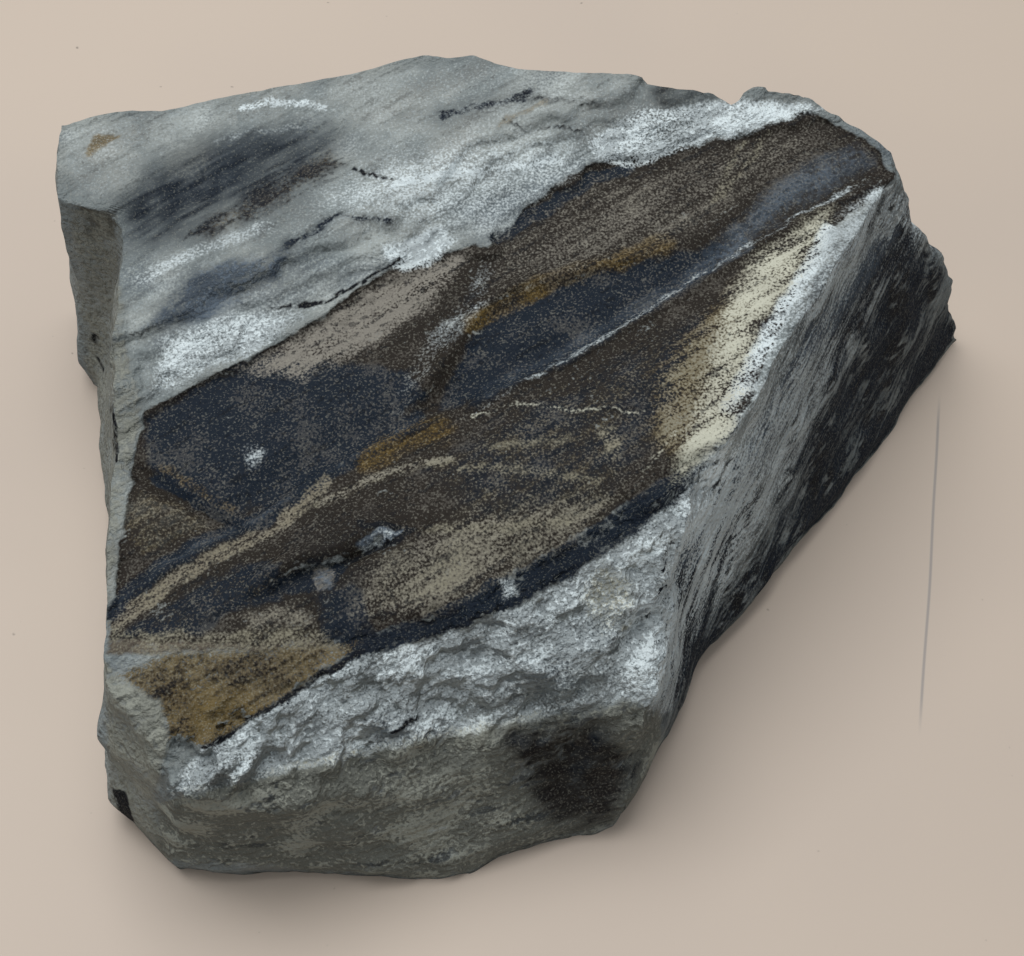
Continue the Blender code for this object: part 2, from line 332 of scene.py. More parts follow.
def relief(points, flat):
    """Moves the points out and in across the planes they lay in while the block was flat-sided."""
    x, y, z = points.T
    moved = points.copy()
    up = facing(*PLANES["leaf"][:2])
    under = (flat - np.array(PLANES["leaf"][2])) @ up
    wander = 0.0
    for far, size, seed in STEP_STRAYS:
        wander = wander + far * rough(points, size, seed)
    slab = slab_height(x, y, wander)
    lift = slab * ease(under, -SLAB_DEEP, 0.0) + leaf_relief(x, y) * ease(under, -RELIEF_DEEP, 0.0)
    away = along(SLAB_EDGE, x, y)[0]
    broken = ease(away, *FLAKED_FROM) * ease(away, *FLAKED_TO)
    on_slab = ease(away, *SLAB_FROM) * ease(under, -FLAKES_DEEP, 0.0)
    lift += (flakes(points, 3.2, 21) - 0.5) * (0.15 + 0.4 * broken) * on_slab
    moved += up * lift[:, None]
    # The broken faces are lumpy, with ledges along the bedding.
    coarse = rough(points, 13.0, 1)
    middling = rough(points, 5.5, 2)
    ledge = rough(points, 7.0, 3, (0.35, 0.35, 1.6))
    small = rough(points, 1.6, 4)
    for name, (azimuth, rise, through) in PLANES.items():
        if name == "leaf":
            continue
        out = facing(azimuth, rise)
        inside = (flat - np.array(through)) @ out
        near = ease(inside, -LUMPS_DEEP, 0.0)
        amount = 0.7 * coarse + 0.45 * middling + 0.5 * ledge + 0.15 * small
        if name in TOP:
            amount = 0.5 * coarse + 0.75 * middling + 0.35 * small
            amount += 1.6 * (flakes(points, 3.4, 31) - 0.5) + 0.6 * (flakes(points, 1.6, 35) - 0.5)
        moved += out * (amount * near)[:, None]
    moved[:, 2] = z + (moved[:, 2] - z) * ease(z, 0.0, SEAT_CLEAR)
    return moved


def foot(points):
    """Draws the sides in under the block, so that it stands on a seat smaller than its outline."""
    x, y, z = points.T
    moved = points.copy()
    tuck = TUCK * (1.0 - ease(z, 0.0, TUCK_TOP)) * (1.0 + 0.5 * rough(points, 8.0, 5))
    away = np.hypot(x - MIDDLE[0], y - MIDDLE[1])
    moved[:, 0] -= tuck * (x - MIDDLE[0]) / away
    moved[:, 1] -= tuck * (y - MIDDLE[1]) / away
    return moved


def camera_axes():
    """Where the camera looks, what is up in its picture, and where it stands, in millimetres."""
    look = np.array((0.0, math.cos(ELEVATION), -math.sin(ELEVATION)))
    up = np.array((0.0, math.sin(ELEVATION), math.cos(ELEVATION)))
    return look, up, np.array(TARGET) - look * DISTANCE


def picture_places(points):
    """Where points of the stone, in metres, fall in the picture, in its pixels."""
    look, up, stand = camera_axes()
    away = points / MM - stand
    depth = away @ look
    scale = LENS / SENSOR * IMAGE[0] / depth
    return IMAGE[0] / 2 + away[:, 0] * scale, IMAGE[1] / 2 - (away @ up) * scale


def broken_block():
    """A box cut down by every break plane in turn."""
    mesh = bmesh.new()
    bmesh.ops.create_cube(mesh, size=1.0)
    bmesh.ops.scale(mesh, vec=BLOCK, verts=mesh.verts[:])
    bmesh.ops.translate(mesh, vec=BLOCK_MIDDLE, verts=mesh.verts[:])
    for azimuth, rise, through in PLANES.values():
        out = Vector(facing(azimuth, rise))
        whole = mesh.verts[:] + mesh.edges[:] + mesh.faces[:]
        cut = bmesh.ops.bisect_plane(mesh, geom=whole, plane_co=through, plane_no=out, clear_outer=True)
        rim = [item for item in cut["geom_cut"] if isinstance(item, bmesh.types.BMEdge)]
        bmesh.ops.holes_fill(mesh, edges=rim, sides=0)
    return mesh


def slice_faces(mesh, out, grain, cell):
    """Divides every face that faces one way into a lattice of cells that run with the grain."""
    across = out.cross(grain).normalized()
    along_face = across.cross(out)
    for way, step in ((along_face, cell[0]), (across, cell[1])):
        faces = [face for face in mesh.faces if face.normal.dot(out) > FLUSH]
        reach = [vert.co.dot(way) for face in faces for vert in face.verts]
        start = min(reach)
        count = round((max(reach) - start) / step)
        for number in range(1, count):
            where = start + (max(reach) - start) * number / count
            faces = [face for face in mesh.faces if face.normal.dot(out) > FLUSH]
            part = {edge for face in faces for edge in face.edges}
            corners = {vert for face in faces for vert in face.verts}
            cut = [*faces, *part, *corners]
            bmesh.ops.bisect_plane(mesh, geom=cut, plane_co=way * where, plane_no=way)


def stone_mesh():
    """The block in fine cells, with its relief, in metres."""
    mesh = broken_block()
    mesh.normal_update()
    for name, plane in PLANES.items():
        out = Vector(facing(*plane[:2]))
        if name in TOP:
            slice_faces(mesh, out, Vector(facing(GRAIN, 0.0)), TOP_CELL)
        else:
            cell = HIDDEN_CELL if name in HIDDEN else SIDE_CELL
            slice_faces(mesh, out, Vector((0.0, 0.0, 1.0)), cell)
    many_sided = [face for face in mesh.faces if len(face.verts) > 4]
    bmesh.ops.triangulate(mesh, faces=many_sided, quad_method="BEAUTY", ngon_method="BEAUTY")
    bmesh.ops.subdivide_edges(mesh, edges=mesh.edges[:], cuts=CUTS, use_grid_fill=True)
    points = np.array([vert.co[:] for vert in mesh.verts])
    points = foot(relief(settle(points), points))
    for vert, place in zip(mesh.verts, points.tolist()):
        vert.co = place
    bmesh.ops.translate(mesh, vec=(-MIDDLE[0], -MIDDLE[1], 0.0), verts=mesh.verts[:])
    bmesh.ops.transform(mesh, matrix=Matrix.Scale(MM, 4), verts=mesh.verts[:])
    bmesh.ops.triangulate(mesh, faces=mesh.faces[:], quad_method="BEAUTY", ngon_method="BEAUTY")
    bmesh.ops.recalc_face_normals(mesh, faces=mesh.faces[:])
    for face in mesh.faces:
        face.smooth = True
    data = bpy.data.meshes.new("leaf_stone")
    mesh.to_mesh(data)
    mesh.free()
    return data


def tone(red, green, blue):
    """A colour named from 0 to 255, as the light that it reflects."""
    parts = np.array((red, green, blue)) / 255.0
    light = np.where(parts > 0.04045, ((parts + 0.055) / 1.055) ** 2.4, parts / 12.92)
    return (*light.tolist(), 1.0)


# The slate's two tones and the pigments, one colour each for the whole block.
SLATE = tone(144, 149, 146)
DIM_SLATE = tone(122, 129, 129)
# Night, umber and soot also serve as painted shade, and frost as painted highlight, as the coats say.
PIGMENTS = {
    "earth": tone(88, 80, 71),
    "umber": tone(38, 34, 30),
    "night": tone(25, 32, 41),
    "taupe": tone(120, 116, 108),
    "ochre": tone(98, 80, 40),
    "olive": tone(134, 136, 127),
    "steel": tone(82, 92, 102),
    "sand": tone(122, 118, 102),
    "frost": tone(202, 212, 214),
    "cream": tone(180, 180, 164),
    "soot": tone(20, 22, 26),
}
# The board's two tones.
TABLE = (0.47, 0.39, 0.318, 1.0)
WORN_TABLE = (0.45, 0.375, 0.31, 1.0)
# The long scratch on the table, from end to end, how far off its line it is nothing and whole, and
# how long its ends run thin, in metres.
SCRATCH = ((0.0512, 0.0204), (0.0419, -0.0264))
SCRATCH_RIM = (0.00025, 0.00005)
SCRATCH_END = 0.006
# The pigments that lie on thinly and break up along the grain, and the amounts at which they and
# the dark ones show nothing and cover the slate.
PALE = ("taupe", "sand", "frost", "cream", "ochre")
PALE_COVER = (0.15, 0.9)
DARK_COVER = (0.15, 0.62)
# How dull the stone is, and how strong and how deep its fine relief is, in metres.
SHEEN = 0.05
STONE_ROUGHNESS = 0.7
BUMP_STRENGTH = 0.9
BUMP_DEPTH = 0.0007
# The ways that the bedding runs on the split face and the front, and that the fibres and the strands
# run on the right face.
BEDDING_WAY = (0.84, 0.54, 0.08)
FRONT_WAY = (0.94, 0.34, 0.0)
FIBRE_WAY = (0.42, 0.81, 0.43)
FAR_STRAND_WAY = (0.53, 0.84, 0.15)
NEAR_STRAND_WAY = (0.22, 0.65, 0.72)
# Where the strands of the right face bend down, across the picture, in its pixels.
STRANDS_BEND = (860.0, 690.0)

# Closed marks, by their outlines in the picture's pixels.
AREAS = {
    "blade": ((147, 410), (290, 338), (400, 262), (488, 245), (545, 194), (591, 163), (701, 146),
              (811, 112), (865, 140), (898, 178), (826, 232), (775, 338), (733, 442), (591, 527),
              (430, 622), (280, 645), (110, 640), (121, 540), (140, 440)),
    "right lobe": ((495, 238), (591, 172), (790, 122), (835, 140), (753, 199), (678, 250), (541, 284),
                   (472, 318)),
    "blue lobe": ((690, 262), (753, 199), (796, 164), (855, 140), (882, 168), (820, 205), (727, 255)),
    "upper left blade": ((147, 420), (262, 356), (400, 372), (425, 395), (300, 490), (220, 515),
                         (150, 466)),
    "upper middle blade": ((440, 408), (478, 325), (570, 285), (735, 240), (700, 280), (560, 362),
                           (480, 400)),
    "brown bump": ((385, 325), (420, 280), (487, 256), (478, 300), (412, 330)),
    "taupe shoulder": ((238, 370), (302, 334), (400, 272), (470, 250), (440, 300), (380, 340),
                       (300, 380)),
    "pale valley": ((350, 370), (426, 329), (486, 260), (500, 290), (455, 348), (405, 400)),
    "side lobe": ((135, 483), (217, 523), (208, 535), (142, 556), (121, 535)),
    "lower blade": ((420, 470), (517, 400), (658, 330), (733, 290), (705, 350), (680, 430), (600, 508),
                    (470, 522)),
    "lower rim of blade": ((345, 620), (368, 562), (470, 514), (625, 495), (568, 545), (430, 620)),
    "ochre cheek": ((660, 445), (662, 375), (705, 322), (738, 310), (705, 390), (690, 440)),
    "cream wing": ((757, 251), (832, 208), (812, 259), (761, 331), (736, 435), (668, 488), (700, 390),
                   (722, 309)),
    "chip flake": ((352, 546), (376, 526), (406, 530), (392, 546), (366, 557)),
    "chip piece": ((310, 574), (318, 564), (334, 570), (334, 590), (320, 594)),
    "chip hollow": ((277, 584), (312, 563), (352, 560), (330, 590), (285, 594)),
    "dark pool": ((317, 596), (355, 580), (372, 635), (322, 640)),
    "pale foot": ((236, 612), (300, 600), (322, 626), (250, 632)),
    "foot band": ((108, 630), (320, 630), (350, 648), (108, 656)),
    "ochre triangle": ((115, 675), (166, 654), (368, 641), (285, 695), (205, 747), (166, 736),
                       (160, 702)),
    "gold patch": ((168, 692), (240, 690), (255, 706), (200, 744), (172, 735)),
    "slab": ((57, 127), (288, 84), (476, 53), (731, 93), (831, 106), (811, 112), (655, 160), (591, 162),
             (488, 240), (400, 260), (262, 350), (147, 412), (122, 330), (120, 205), (72, 200)),
    "trough": ((124, 252), (116, 196), (185, 146), (270, 130), (335, 128), (330, 155), (258, 196),
               (182, 235)),
    "slab front": ((140, 330), (200, 268), (290, 246), (280, 282), (210, 318)),
    "frosted step": ((155, 392), (165, 340), (228, 318), (300, 314), (262, 348)),
    "bright step": ((386, 250), (440, 228), (455, 240), (428, 268), (392, 268)),
    "pale slab": ((330, 200), (390, 160), (593, 140), (575, 172), (500, 222), (440, 225)),
    "far frost": ((591, 140), (639, 110), (740, 102), (825, 108), (740, 132), (628, 168), (596, 156)),
    "far rubble": ((645, 90), (676, 74), (726, 96), (700, 110), (655, 105)),
    "tan fleck": ((93, 132), (121, 136), (102, 150), (86, 159), (88, 146)),
    "chamfer": ((158, 798), (205, 748), (363, 655), (530, 602), (742, 450), (660, 600), (655, 694),
                (470, 728)),
    "chamfer rough": ((515, 690), (614, 664), (600, 700), (476, 722), (432, 712)),
    "chamfer corner": ((575, 600), (600, 562), (634, 575), (640, 625), (600, 638)),
    "chamfer pale": ((428, 675), (440, 645), (505, 630), (500, 672)),
    "front face": ((157, 804), (430, 738), (565, 712), (660, 700), (662, 800), (590, 838), (430, 880),
                   (160, 858)),
    "front shadow": ((500, 732), (591, 714), (640, 765), (612, 825), (545, 826)),
    "right face": ((898, 182), (930, 218), (958, 330), (885, 450), (780, 574), (662, 722), (656, 600),
                   (744, 452), (804, 300), (832, 235)),
    "right hollow": ((850, 300), (885, 238), (940, 262), (940, 370), (878, 445), (800, 550),
                     (800, 440)),
    "right crumbs": ((865, 195), (890, 186), (930, 222), (915, 244), (880, 218)),
    "left face": ((68, 204), (120, 212), (124, 330), (144, 412), (121, 540), (104, 640), (88, 600),
                  (88, 400)),
    "left notch": ((80, 206), (119, 212), (118, 240), (84, 244)),
    "near left": ((100, 660), (163, 703), (168, 745), (155, 800), (160, 856), (115, 850)),
    "trough brown": ((180, 235), (250, 190), (330, 145), (345, 165), (280, 205), (210, 240)),
    "foot streaks": ((112, 640), (180, 596), (240, 566), (282, 560), (280, 600), (230, 612),
                     (200, 636)),
    "groove specks": ((241, 450), (262, 444), (268, 458), (250, 468)),
    "groove recess": ((258, 444), (276, 434), (294, 440), (284, 454), (266, 452)),
    "margin specks": ((499, 580), (513, 578), (516, 596), (503, 600)),
    "chamfer specks": ((494, 612), (520, 612), (534, 620), (512, 628)),
    "chamfer specks right": ((545, 624), (562, 620), (566, 632), (550, 636)),
    "blade flecks": ((600, 430), (614, 428), (620, 450), (616, 462), (604, 458)),
    "margin band": ((322, 640), (388, 633), (464, 603), (568, 545), (647, 496), (738, 427), (736, 460),
                    (655, 520), (600, 560), (522, 604), (430, 642), (352, 660)),
    "right near fibres": ((738, 452), (752, 500), (705, 600), (664, 702), (648, 690), (640, 600),
                          (668, 535)),
    "chip rubble": ((282, 600), (290, 535), (350, 502), (425, 520), (405, 560), (345, 600)),
    "near hole": ((114, 785), (127, 794), (134, 831), (121, 828)),
}

# Open marks, by the line that each follows in the picture's pixels.
LINES = {
    "blade upper rim": ((495, 238), (541, 212), (590, 180), (628, 170)),
    "fold line": ((479, 306), (541, 281), (610, 254)),
    "fold shade": ((472, 322), (541, 284), (598, 267), (667, 243)),
    "midrib": ((473, 413), (538, 374), (625, 325), (708, 270), (783, 225), (848, 190)),
    "midrib speckle": ((485, 390), (560, 355), (650, 302), (745, 245)),
    "left midrib": ((109, 613), (168, 561), (265, 516), (361, 454), (420, 419)),
    "left midrib tan": ((114, 626), (184, 572), (279, 526), (326, 480)),
    "midrib foot": ((319, 504), (385, 473), (451, 459)),
    "midrib brown": ((368, 462), (404, 440), (444, 429)),
    "side groove": ((154, 478), (184, 495), (234, 521)),
    "groove rim": ((160, 466), (195, 486), (232, 512)),
    "lobe rim": ((149, 558), (184, 545), (215, 530)),
    "short vein": ((460, 420), (517, 402), (571, 410), (656, 411)),
    "blade vein above": ((482, 448), (528, 443), (569, 438)),
    "blade vein below": ((460, 468), (517, 468), (600, 480)),
    "blade vein lowest": ((418, 530), (487, 528), (568, 520)),
    "lobe vein left": ((744, 140), (712, 201)),
    "lobe vein right": ((770, 132), (722, 194)),
    "valley seam": ((490, 262), (467, 311), (430, 350), (400, 410)),
    "chip line": ((274, 582), (314, 563), (352, 560), (400, 540), (416, 530), (361, 523)),
    "wing rib": ((640, 478), (675, 431)),
    "margin": ((388, 633), (464, 603), (568, 545), (647, 496), (738, 427)),
    "triangle rim": ((205, 748), (297, 690), (363, 652)),
    "ridge": ((828, 232), (792, 294), (757, 356), (728, 405)),
    "right streak": ((889, 231), (859, 277), (818, 335), (760, 440), (690, 560)),
    "right foot": ((955, 350), (883, 448), (774, 572), (668, 714)),
    "right near streak": ((640, 596), (652, 640), (656, 690)),
    "chamfer lip": ((160, 796), (285, 769), (430, 736), (545, 715)),
    "chamfer crack": ((386, 737), (416, 718)),
    "slab crack": ((272, 309), (327, 302), (400, 260)),
    "slab line": ((288, 247), (338, 217), (391, 221)),
    "slab curve": ((350, 171), (400, 180)),
    "slab ridge": ((141, 279), (201, 249), (270, 226)),
    "far flakes": ((442, 116), (499, 102), (527, 94)),
    "far spots": ((518, 95), (552, 100), (596, 102)),
    "far curve": ((504, 119), (526, 132), (560, 127), (580, 132)),
    "scuff far": ((240, 108), (285, 101), (325, 108)),
    "scuff near": ((214, 143), (250, 133), (297, 128)),
    "scuff right": ((560, 160), (510, 166), (420, 178), (394, 186)),
    "far rim": ((499, 125), (548, 101)),
    "left slit": ((109, 403), (115, 424), (117, 462)),
    "left slit above": ((92, 332), (104, 372)),
}

# The marks that lie on the side faces; the others lie on the faces that look up.
SIDE_MARKS = ("front face", "front shadow", "right face", "right hollow", "right foot",
              "right streak", "right near streak", "right near fibres", "right crumbs", "ridge",
              "left face", "left slit", "left slit above", "left notch", "near left", "near hole")
# How a mark that follows a line ends: the widths from the line where it is nothing and whole.
LINE_RIM = (1.5, 0.4)
# How far the rims of the marks stray, in the picture's pixels, the size of the strays in millimetres
# and their seed, first across the picture and then down it.
STRAYS_ACROSS = ((4.0, 2.2, 41), (2.5, 0.9, 42))
STRAYS_DOWN = ((4.0, 2.2, 43), (2.5, 0.9, 44))
# How squarely a face turns to the picture, to the sky, or the way a plane faces, where a coat that
# lies only on such faces is nothing and whole.
TO_PICTURE = (-0.05, 0.2)
TO_SKY = (0.25, 0.5)
TO_PLANE = (0.82, 0.95)

# Where each pigment lies: a mark, how strongly, and how soft or how wide it is, in pixels. A strength
# below nothing clears what the marks before it have laid there. "hollow", "smooth" and "rugged"
# aren't pigments: "hollow" is painted shade, darkening the stone where it lies, and the other two say
# where the stone is even or chipped. Some pigment marks paint shade and highlights too.
COATS = {
    "earth": (("right lobe", 0.9, 8), ("left face", 0.3, 6), ("near left", 0.35, 6),
              ("lower rim of blade", 0.6, 8), ("foot band", 0.6, 6)),
    # Umber in the right hollow is painted shade, and in the front shadow a painted shadow.
    "umber": (("blade", 0.95, 4), ("trough brown", 0.6, 16), ("ochre triangle", 0.45, 6),
              ("brown bump", 0.5, 14), ("lower blade", 0.9, 12), ("right hollow", 0.3, 16),
              ("front shadow", 0.65, 24), ("lobe rim", 0.8, 5), ("left notch", 0.7, 4)),
    # Night is painted shade in the chip hollow, the groove recess, the right hollow and along the right
    # foot, and a painted shadow of the slab's step along the blade's upper rim. In the trough, the
    # margin band and on the right face it is painted shade over the stone's own dark.
    "night": (("right near fibres", 0.35, 16), ("upper left blade", 0.95, 14), ("margin band", 0.75, 8),
              ("margin", 0.5, 5), ("triangle rim", 0.5, 7), ("lower blade", 0.4, 30),
              ("upper middle blade", 1.0, 12), ("trough", 0.3, 34), ("foot streaks", 0.7, 8),
              ("dark pool", 0.7, 10), ("groove recess", 1.0, 3), ("chip hollow", 1.0, 3),
              ("left midrib", 0.7, 9), ("blade upper rim", 0.8, 7), ("side groove", 0.9, 5),
              ("right face", 0.25, 4), ("right hollow", 0.4, 30), ("right foot", 0.3, 24),
              ("slab line", 0.6, 3), ("far flakes", 0.6, 4)),
    "taupe": (("taupe shoulder", 0.8, 14), ("right lobe", 0.34, 30), ("chip piece", 0.6, 4),
              ("left midrib tan", 0.5, 8), ("lower rim of blade", 0.42, 16), ("midrib foot", 0.6, 3),
              ("pale foot", 0.4, 14)),
    "olive": (("left face", 0.4, 8), ("side lobe", 0.2, 8), ("front face", 0.8, 6),
              ("front shadow", -0.5, 26), ("near left", 0.5, 8)),
    "ochre": (("ochre cheek", 0.6, 18), ("cream wing", 0.5, 26), ("side lobe", 0.25, 6),
              ("left midrib tan", 0.35, 8), ("trough brown", 0.3, 12), ("lower blade", 0.2, 24),
              ("ochre triangle", 0.62, 6), ("gold patch", 0.7, 16), ("foot streaks", 0.2, 10),
              ("fold shade", 0.4, 12), ("groove rim", 0.3, 7), ("midrib brown", 0.4, 16),
              ("tan fleck", 0.8, 2), ("far rim", 0.5, 3)),
    "steel": (("blue lobe", 0.4, 20), ("midrib speckle", 0.26, 10), ("left midrib", 0.25, 5),
              ("slab front", 0.6, 14), ("right streak", 0.4, 12), ("chip flake", 0.7, 3),
              ("chip piece", 0.5, 4)),
    "sand": (("lower rim of blade", 0.42, 26), ("lower blade", 0.2, 24), ("upper left blade", 0.1, 12),
             ("side lobe", 0.28, 10), ("pale foot", 0.35, 20), ("foot band", 0.45, 6),
             ("ochre triangle", 0.32, 8), ("left midrib tan", 0.4, 9), ("cream wing", 0.5, 24),
             ("blade flecks", 0.45, 4), ("blade vein above", 0.22, 4), ("blade vein below", 0.3, 4),
             ("blade vein lowest", 0.28, 4), ("lobe vein left", 0.32, 3), ("lobe vein right", 0.32, 3),
             ("ochre cheek", 0.5, 10), ("midrib foot", 0.45, 5), ("right lobe", 0.2, 24)),
    # Frost on the slab ridge is a painted highlight, and on the chamfer a pale crust laid on thick as
    # painted light where the chamfer faces the sky. Clearing it from the trough and the right hollow is
    # part of their painted shade.
    "frost": (("slab", 0.26, 10), ("scuff far", 0.85, 3), ("scuff near", 0.8, 3),
              ("scuff right", 0.8, 3), ("trough", -1.0, 22), ("slab front", -0.7, 16),
              ("far rubble", -0.8, 6), ("trough brown", -0.6, 14), ("frosted step", 0.6, 8),
              ("bright step", 1.0, 6), ("chip flake", 0.4, 3), ("pale slab", 0.34, 24),
              ("far frost", 0.9, 6), ("chamfer", 0.95, 6), ("chamfer rough", -0.6, 12),
              ("chamfer corner", 0.9, 8), ("chamfer pale", 0.7, 8), ("chamfer lip", 0.5, 6),
              ("pale valley", 0.1, 20), ("ridge", 0.75, 9), ("margin band", -1.0, 9),
              ("right crumbs", 0.55, 5), ("right near streak", 0.7, 24),
              ("right near fibres", 0.85, 16), ("right streak", 0.45, 50), ("right face", 0.2, 8),
              ("right hollow", -0.5, 24), ("slab ridge", 0.35, 6), ("midrib", 0.34, 2.4),
              ("fold line", 0.2, 4), ("valley seam", 0.16, 12), ("groove specks", 0.5, 12),
              ("margin specks", 0.55, 6), ("chamfer specks", 0.95, 4),
              ("chamfer specks right", 0.95, 4)),
    "cream": (("cream wing", 0.66, 20), ("chamfer corner", 0.5, 14), ("chamfer lip", 0.4, 6),
              ("wing rib", 0.4, 2), ("short vein", 0.5, 2)),
    # All of this coat is painted shade, darkening the stone where it lies.
    "hollow": (("trough", 0.95, 23), ("trough brown", 0.6, 26), ("right face", 0.35, 6),
               ("right hollow", 0.55, 34), ("right foot", 0.3, 26), ("front shadow", 0.85, 26),
               ("margin band", 0.35, 10), ("slab line", 0.4, 8), ("far flakes", 0.25, 12)),
    "smooth": (("slab", 0.9, 10), ("far frost", -0.8, 10), ("slab front", -0.8, 14),
               ("frosted step", -0.8, 12)),
    "rugged": (("chip rubble", 0.8, 14), ("chamfer", 0.9, 10), ("right crumbs", 0.8, 8),
               ("slab front", 0.7, 14), ("frosted step", 0.7, 12), ("far frost", 0.6, 10),
               ("far rubble", 1.0, 6), ("front face", 0.95, 6), ("foot streaks", 0.5, 8),
               ("bright step", 0.7, 8)),
    # Soot in the near hole is painted shade, and in the front shadow a painted shadow.
    "soot": (("near hole", 1.0, 3), ("chip line", 0.9, 3), ("left slit", 0.6, 2),
             ("left slit above", 0.5, 2), ("slab crack", 0.7, 2), ("slab curve", 0.6, 2),
             ("far spots", 0.35, 5), ("far curve", 0.45, 2), ("chamfer crack", 0.6, 3),
             ("triangle rim", 0.6, 3), ("ochre triangle", 0.3, 8), ("front shadow", 0.5, 26),
             ("far rubble", 0.3, 5)),
}


def inside(outline, x, y):
    """The distance in from a closed outline, negative outside it."""
    closed = outline + outline[:1]
    away = along(closed, x, y)[0]
    crossings = np.zeros(x.shape, int)
    for start, end in zip(closed[:-1], closed[1:]):
        if start[1] != end[1]:
            spans = (start[1] > y) != (end[1] > y)
            crossing = start[0] + (end[0] - start[0]) * (y - start[1]) / (end[1] - start[1])
            crossings += spans & (x < crossing)
    return np.where(crossings % 2 == 1, np.abs(away), -np.abs(away))


def coat_mesh(mesh):
    """Gives every point of the stone the amount of each pigment and of painted shade that lies there.
    """
    points = np.zeros(len(mesh.vertices) * 3)
    mesh.vertices.foreach_get("co", points)
    points = points.reshape(-1, 3)
    normals = np.zeros(len(mesh.vertices) * 3)
    mesh.vertex_normals.foreach_get("vector", normals)
    normals = normals.reshape(-1, 3)
    shown = ease(normals @ -camera_axes()[0], *TO_PICTURE)
    upward = ease(normals[:, 2], *TO_SKY)
    x, y = picture_places(points)
    millimetres = points / MM
    for far, size, seed in STRAYS_ACROSS:
        x = x + far * rough(millimetres, size, seed)
    for far, size, seed in STRAYS_DOWN:
        y = y + far * rough(millimetres, size, seed)
    for pigment, marks in COATS.items():
        laid = np.zeros(len(points))
        for name, strength, reach in marks:
            if name in AREAS:
                cover = ease(inside(AREAS[name], x, y), -reach, reach)
            else:
                away = along(LINES[name], x, y)[0]
                cover = ease(np.abs(away), LINE_RIM[0] * reach, LINE_RIM[1] * reach)
            if name not in SIDE_MARKS:
                cover = cover * upward
            if strength > 0.0:
                laid += (1.0 - laid) * strength * cover
            else:
                laid *= 1.0 + strength * cover
        amount = mesh.attributes.new(pigment, "FLOAT", "POINT")
        amount.data.foreach_set("value", laid * shown)
    steep = mesh.attributes.new("steep", "FLOAT", "POINT")
    steep.data.foreach_set("value", ease(x, *STRANDS_BEND))
    for face, plane in (("fibrous", "right"), ("front", "front")):
        faced = mesh.attributes.new(face, "FLOAT", "POINT")
        faced.data.foreach_set("value", ease(normals @ facing(*PLANES[plane][:2]), *TO_PLANE))


class Value:
    """A number that changes over a surface; arithmetic on it adds Math nodes."""

    def __init__(self, finish, socket):
        self.finish = finish
        self.socket = socket

    def maths(self, operation, first, second):
        """The outcome of one sum."""
        return self.finish.node("ShaderNodeMath", {"operation": operation}, {0: first, 1: second})

    def __add__(self, other):
        return self.maths("ADD", self, other)

    def __radd__(self, other):
        return self.maths("ADD", other, self)

    def __sub__(self, other):
        return self.maths("SUBTRACT", self, other)

    def __rsub__(self, other):
        return self.maths("SUBTRACT", other, self)

    def __mul__(self, other):
        return self.maths("MULTIPLY", self, other)

    def __rmul__(self, other):
        return self.maths("MULTIPLY", other, self)


class Finish:
    """A material under construction."""

    def __init__(self, name):
        self.material = bpy.data.materials.new(name)
        self.material.use_nodes = True
        self.tree = self.material.node_tree
        self.shader = self.tree.nodes["Principled BSDF"]

    def node(self, kind, settings, inputs, output=0):
        """A node with its settings and what goes into it; gives one of its outputs."""
        made = self.tree.nodes.new(kind)
        for name, setting in settings.items():
            setattr(made, name, setting)
        for name, given in inputs.items():
            self.feed(made.inputs[name], given)
        return Value(self, made.outputs[output])

    def feed(self, socket, given):
        """Puts a value or a plain number into an input."""
        if isinstance(given, Value):
            self.tree.links.new(given.socket, socket)
        else:
            socket.default_value = given

    def places(self, way=(1.0, 0.0, 0.0), stretch=1.0, shift=0.0):
        """Places in the stone, drawn out along one way."""
        here = self.node("ShaderNodeTexCoord", {}, {}, "Object")
        turn = Vector(way).to_track_quat("X", "Z").to_euler()
        inputs = {"Vector": here, "Rotation": turn, "Scale": (stretch, 1.0, 1.0)}
        inputs["Location"] = (shift, shift, shift)
        return self.node("ShaderNodeMapping", {"vector_type": "TEXTURE"}, inputs)

    def cloud(self, places, size, detail, kind="FBM"):
        """Noise around a half, with lumps of about the size given."""
        inputs = {"Vector": places, "Scale": 1.0 / size, "Detail": detail}
        return self.node("ShaderNodeTexNoise", {"noise_type": kind}, inputs)

    def step(self, value, low, high):
        """From 0 at low to 1 at high, smoothly."""
        ends = {"Value": value, "From Min": low, "From Max": high}
        return self.node("ShaderNodeMapRange", {"interpolation_type": "SMOOTHSTEP"}, ends)

    def blend(self, factor, under, over):
        """One colour laid over another."""
        mix = {"data_type": "RGBA"}
        return self.node("ShaderNodeMix", mix, {0: factor, 6: under, 7: over}, 2)

    def amount(self, name):
        """How much of a coat lies at each point."""
        return self.node("ShaderNodeAttribute", {"attribute_name": name}, {}, "Fac")


